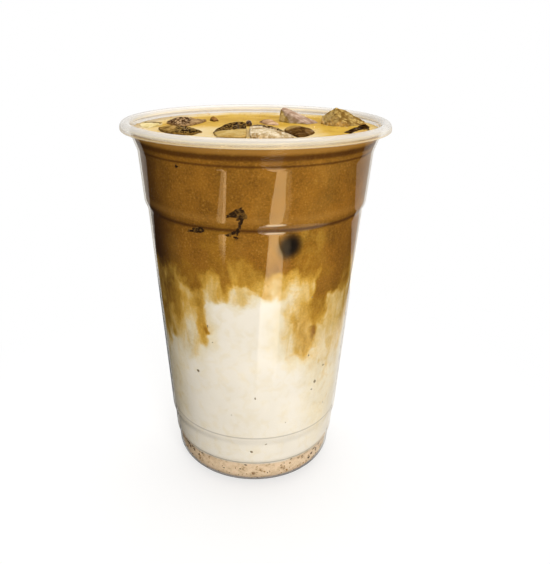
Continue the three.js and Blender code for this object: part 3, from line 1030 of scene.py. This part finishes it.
def scatter_tree():
    """A geometry tree that strews copies of a grain over part of a surface, and makes them one mesh."""
    group = bpy.data.node_groups.new("strewn_grains", "GeometryNodeTree")
    face = group.interface
    for name, kind in (
        ("Surface", "Object"),
        ("Grain", "Object"),
        ("Density", "Float"),
        ("Seed", "Int"),
        ("Low", "Float"),
        ("High", "Float"),
        ("Least Size", "Float"),
        ("Most Size", "Float"),
        ("Least Rise", "Float"),
        ("Material", "Material"),
    ):
        face.new_socket(name, in_out="INPUT", socket_type="NodeSocket" + kind)
    face.new_socket("Geometry", in_out="OUTPUT", socket_type="NodeSocketGeometry")
    tree = Tree(group)
    given = group.nodes.new("NodeGroupInput")
    surface, grain, density, seed, low, high, least, most, rise, finish = (
        tree.wire(given, i) for i in range(10)
    )
    ground = tree.wire(tree.node("GeometryNodeObjectInfo", None, Object=surface), 4)
    copy = tree.wire(tree.node("GeometryNodeObjectInfo", None, Object=grain), 4)
    height = tree.node("ShaderNodeSeparateXYZ", None, Vector=tree.wire(tree.node("GeometryNodeInputPosition")))
    above = tree.math("GREATER_THAN", tree.wire(height, 2), low)
    facing = tree.node("ShaderNodeSeparateXYZ", None, Vector=tree.wire(tree.node("GeometryNodeInputNormal")))
    chosen = above * tree.math("LESS_THAN", tree.wire(height, 2), high)
    chosen = chosen * tree.math("GREATER_THAN", tree.wire(facing, 2), rise)
    strewn = tree.node(
        "GeometryNodeDistributePointsOnFaces", None, Mesh=ground, Selection=chosen, Density=density, Seed=seed
    )
    size = tree.node("FunctionNodeRandomValue", {"data_type": "FLOAT"}, i2=least, i3=most, Seed=seed + 3)
    spin = tree.node(
        "FunctionNodeRandomValue", {"data_type": "FLOAT"}, i2=0.0, i3=2.0 * math.pi, Seed=seed + 5
    )
    turn = tree.node("ShaderNodeCombineXYZ", None, Z=tree.wire(spin, 1))
    turned = tree.node(
        "FunctionNodeRotateRotation",
        {"rotation_space": "LOCAL"},
        i0=tree.wire(strewn, 2),
        i1=tree.wire(tree.node("FunctionNodeEulerToRotation", None, i0=tree.wire(turn))),
    )
    copies = tree.node(
        "GeometryNodeInstanceOnPoints",
        None,
        Points=tree.wire(strewn),
        Instance=copy,
        Rotation=tree.wire(turned),
        Scale=tree.wire(size, 1),
    )
    real = tree.node("GeometryNodeRealizeInstances", None, Geometry=tree.wire(copies))
    smooth = tree.node("GeometryNodeSetShadeSmooth", None, Geometry=tree.wire(real))
    coated = tree.node("GeometryNodeSetMaterial", None, Geometry=tree.wire(smooth), Material=finish)
    tree.node("NodeGroupOutput", None, Geometry=tree.wire(coated))
    return group


def grain_shape(name, flat, uneven, seed):
    """A small closed grain one unit across, flat along Z."""
    work = bmesh.new()
    bmesh.ops.create_icosphere(work, subdivisions=1, radius=0.5)
    for vert in work.verts:
        vert.co *= 1.0 + uneven * noise.noise(vert.co * 3.0 + Vector((seed, 0.0, 0.0)))
        vert.co.z *= flat
    mesh = bpy.data.meshes.new(name)
    work.to_mesh(mesh)
    work.free()
    grain = bpy.data.objects.new(name, mesh)
    bpy.context.scene.collection.objects.link(grain)
    return grain


def strew(name, surface, grain, material, slot, **values):
    """Strews grains over a surface and makes them one plain piece."""
    holder = link_mesh(name + "_holder", [(0, 0, 0)], [])
    modifier = holder.modifiers.new("strewn", "NODES")
    modifier.node_group = scatter_tree()
    set_inputs(modifier, Surface=surface, Grain=grain, Material=material, **values)
    piece = made_plain(name, holder)
    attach(piece, BODY)
    return piece


def build_bead(material):
    """The small dark bead of coffee that stands between two pieces of ice."""
    work = bmesh.new()
    bmesh.ops.create_icosphere(work, subdivisions=3, radius=1.0)
    for vert in work.verts:
        swell = 1.0 + 0.2 * noise.noise(vert.co * 1.4)
        vert.co = Vector((vert.co.x * 1.2 - 2.5, vert.co.y * 0.9 + 4.5, vert.co.z * 1.5 + LEVEL + 0.6)) * MM
        vert.co.z += (swell - 1.0) * MM
    mesh = bpy.data.meshes.new("coffee_bead")
    work.to_mesh(mesh)
    work.free()
    bead = bpy.data.objects.new("coffee_bead", mesh)
    bpy.context.scene.collection.objects.link(bead)
    mesh.materials.append(material)
    shade_smooth(bead, 60.0)
    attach(bead, BODY)


def bead_material():
    material, tree = new_material("dark_bead")
    tint = tree.noise(object_place(tree), 1400.0, 1.0, 0.5)
    colour = tree.ramp(tint, ((0.4, linear(34, 20, 8)), (0.6, linear(92, 62, 26))))
    shader = tree.node(
        "ShaderNodeBsdfPrincipled",
        None,
        **{"Base Color": colour, "Roughness": 0.1, "Specular IOR Level": 0.8},
    )
    to_surface(tree, tree.wire(shader))
    return material


def build_small_things(crumb_layer, milk, coffee):
    dark = crumb_material("dark_crumb", (44, 28, 14), (96, 66, 34))
    tan = crumb_material("tan_crumb", (128, 92, 54), (206, 168, 118))
    grey = crumb_material("soaked_crumb", (112, 98, 72), (172, 154, 122))
    ice = sunk_ice_material()
    lumps_piece("sunk_ice_hook", SUNK_HOOK, ice, 0.34, 0.35)
    lumps_piece("sunk_ice_sliver", SUNK_SLIVER + SUNK_DOT, ice, 0.34, 0.35)
    build_bead(bead_material())
    lumps_piece("crumbs_in_milk", MILK_CRUMBS, grey, 0.3)
    lumps_piece("dark_crumbs_at_wall", DARK_CRUMBS, dark, 0.3, 0.45)
    flake = grain_shape("crumb_grain", 0.5, 0.9, 3.0)
    ball = grain_shape("bubble_grain", 0.7, 0.1, 9.0)
    strew(
        "settled_dark_crumbs", crumb_layer, flake, dark, "biscuit_crumbs",
        **{"Density": 32000.0, "Seed": 4, "Low": 0.0030, "High": 0.0094, "Least Rise": -2.0,
           "Least Size": 0.0002, "Most Size": 0.0008},
    )
    strew(
        "settled_tan_crumbs", crumb_layer, flake, tan, "biscuit_crumbs",
        **{"Density": 160000.0, "Seed": 11, "Low": 0.0030, "High": 0.0088, "Least Rise": -2.0,
           "Least Size": 0.0003, "Most Size": 0.0010},
    )
    strew(
        "crema_bubbles", coffee, ball, bubble_material(), "coffee",
        **{"Density": 60000.0, "Seed": 7, "Low": 0.1311, "High": 0.1320, "Least Rise": 0.5,
           "Least Size": 0.0002, "Most Size": 0.0008},
    )
    for grain in (flake, ball):
        bpy.data.objects.remove(grain)


# The stage: floor, light and camera


def flat_stage(name, size, height, material):
    """A square stage piece that lies flat."""
    mesh = bpy.data.meshes.new(name)
    corners = [(-size, -size, height), (size, -size, height), (size, size, height), (-size, size, height)]
    mesh.from_pydata(corners, [], [(0, 1, 2, 3)])
    piece = bpy.data.objects.new(name, mesh)
    bpy.context.scene.collection.objects.link(piece)
    mesh.materials.append(material)
    return piece


def build_floor():
    """A pale floor that runs out into the white of the backdrop."""
    material, tree = new_material("pale_floor")
    place = object_place(tree)
    away = tree.wire(tree.node("ShaderNodeVectorMath", {"operation": "LENGTH"}, i0=place), 1)
    seen = tree.wire(tree.node("ShaderNodeLightPath"), 0)
    bright = tree.step(away, 0.03, 0.16, 0.6, 1.0) * seen
    colour = tree.blend(seen, (0.3, 0.3, 0.3, 1.0), (0.92, 0.92, 0.92, 1.0))
    plain = tree.node("ShaderNodeBsdfDiffuse", None, Color=colour)
    glow = tree.node("ShaderNodeEmission", None, Color=(1.0, 1.0, 1.0, 1.0), Strength=1.0)
    both = tree.node("ShaderNodeMixShader", None, i0=bright, i1=tree.wire(plain), i2=tree.wire(glow))
    to_surface(tree, tree.wire(both))
    floor = flat_stage("floor", 4.0, -0.0004, material)
    floor.visible_glossy = False


def between(tree, value, low, high, soft):
    """1 between two borders, which are numbers or wires, with soft edges."""
    above = tree.step(value - low, -soft, soft)
    return above * tree.step(value - high, -soft, soft, 1.0, 0.0)


def build_reflected_room():
    """What the clear wall mirrors: the dim room in front, the white behind, and two tall windows. It lies just
    under the floor, and only mirrored rays meet it."""
    material, tree = new_material("reflected_room")
    x, y, z = place_parts(tree, object_place(tree))
    left = tree.math("MAXIMUM", -x - 100.0, 0.0)
    border = tree.step(x, -20.0, 20.0, 163.0, 150.0)
    soft = tree.step(x, -20.0, 20.0, 11.0, 3.0)
    behind = tree.step((y - left * 0.44 - border) / soft, -1.0, 1.0) * tree.step(tree.math("ABSOLUTE", x), 80.0, 95.0)
    far = -y - 97.0
    low_part = tree.step(far, 150.0, 160.0, 1.0, 0.0)
    wide_left = far * far * 0.00152 + far * 0.084 + 5.0 + low_part * 10.0 * tree.step(far, 60.0, 100.0)
    wide_right = far * 0.625 + 42.0 - band(tree, far, 130.0, 34.0) * 28.0 - tree.step(far, 140.0, 190.0) * 12.0
    in_front = tree.step(far, -30.0, 45.0)
    wide = between(tree, x, wide_left, wide_right, 3.0) * in_front
    halo = between(tree, x, wide_right, wide_right + 34.0, 12.0) * tree.step(far, 60.0, 110.0)
    thin_left = tree.math("MAXIMUM", far * -0.9 - 51.5, far * -0.26 - 128.5)
    thin_right = far * -0.36 - 74.5
    thin = between(tree, x, thin_left, thin_right, 3.0) + between(tree, x, thin_right - 14.0, thin_right, 4.0)
    thin = thin * tree.step(far, 78.0, 118.0)
    wide = wide * (2.6 + band(tree, far, 125.0, 45.0) * 0.8)
    windows = (wide + halo * 0.6 + thin * 1.3) * tree.step(far, 60.0, 110.0, 1.0, 2.2)
    windows = windows + between(tree, x, 32.0, 125.0, 10.0) * tree.step(far, -40.0, 60.0, 0.9, 0.0)
    light = 0.02 + behind * tree.step(x, -60.0, 60.0, 0.52, 0.72) + windows
    golden = tree.step(far, 60.0, 110.0) * (1.0 - behind)
    tint = tree.blend(golden, (1.0, 0.92, 0.81, 1.0), (0.92, 0.66, 0.34, 1.0))
    glow = tree.node("ShaderNodeEmission", None, Color=tint, Strength=light)
    to_surface(tree, tree.wire(glow))
    room = flat_stage("reflected_room", 4.0, -0.0006, material)
    room.visible_camera = False
    room.visible_diffuse = False
    room.visible_transmission = False
    room.visible_shadow = False


def build_world():
    """White for the eye; a soft glow, stronger behind and above, for the light."""
    world = bpy.data.worlds.new("studio")
    bpy.context.scene.world = world
    world.use_nodes = True
    world.node_tree.nodes.clear()
    tree = Tree(world.node_tree)
    path = tree.node("ShaderNodeLightPath")
    way = tree.node("ShaderNodeSeparateXYZ", None, Vector=tree.wire(tree.node("ShaderNodeTexCoord"), 0))
    level = tree.step(tree.wire(way, 1), -0.6, 0.6, 0.16, 0.8) + tree.step(tree.wire(way, 2), 0.0, 1.0, 0.0, 0.3)
    seen = tree.node("ShaderNodeBackground", None, Color=(1.0, 1.0, 1.0, 1.0), Strength=1.0)
    glow = tree.node("ShaderNodeBackground", None, Color=(1.0, 0.985, 0.96, 1.0), Strength=level)
    both = tree.node(
        "ShaderNodeMixShader", None, i0=tree.wire(path, 0), i1=tree.wire(glow), i2=tree.wire(seen)
    )
    tree.node("ShaderNodeOutputWorld", None, Surface=tree.wire(both))


def add_light(name, place, aim, size, power, colour=(1.0, 1.0, 1.0)):
    light = bpy.data.lights.new(name, "AREA")
    light.shape = "DISK"
    light.size = size
    light.energy = power
    light.color = colour
    lamp = bpy.data.objects.new(name, light)
    lamp.location = place
    lamp.rotation_euler = (Vector(aim) - Vector(place)).to_track_quat("-Z", "Y").to_euler()
    lamp.visible_camera = False
    bpy.context.scene.collection.objects.link(lamp)
    return lamp


def build_lights():
    middle = (0.0, 0.0, 0.07)
    key = add_light("key", (0.32, -1.1, 0.55), middle, 0.7, 13.6, (1.0, 0.985, 0.96))
    key.visible_glossy = False
    add_light("overhead", (0.0, 0.25, 1.1), middle, 0.9, 4.0)


CAMERA_PLACE = (0.0, -0.2241, 0.16283)
CAMERA_PITCH = 20.67
CAMERA_ROLL = 0.36


def build_camera():
    camera = bpy.data.cameras.new("camera")
    camera.lens = 39.56
    camera.sensor_width = 36.0
    camera.sensor_fit = "AUTO"
    camera.shift_x = 0.0358
    camera.shift_y = -0.0268
    camera.clip_start = 0.01
    camera.clip_end = 20.0
    holder = bpy.data.objects.new("camera", camera)
    bpy.context.scene.collection.objects.link(holder)
    tilt = Matrix.Rotation(math.radians(90.0 - CAMERA_PITCH), 4, "X")
    roll = Matrix.Rotation(math.radians(CAMERA_ROLL), 4, "Z")
    holder.matrix_world = Matrix.Translation(CAMERA_PLACE) @ tilt @ roll
    bpy.context.scene.camera = holder


bpy.context.scene.view_settings.view_transform = "Standard"
build_world()
build_floor()
build_reflected_room()
build_lights()
build_camera()
wall_finish = drink_wall_material()
build_cup(cup_material())
milk_piece = build_milk(wall_finish)
crumb_piece = build_crumb_layer(wall_finish)
coffee_piece = build_coffee(wall_finish, drink_top_material())
build_ice()
build_small_things(crumb_piece, milk_piece, coffee_piece)
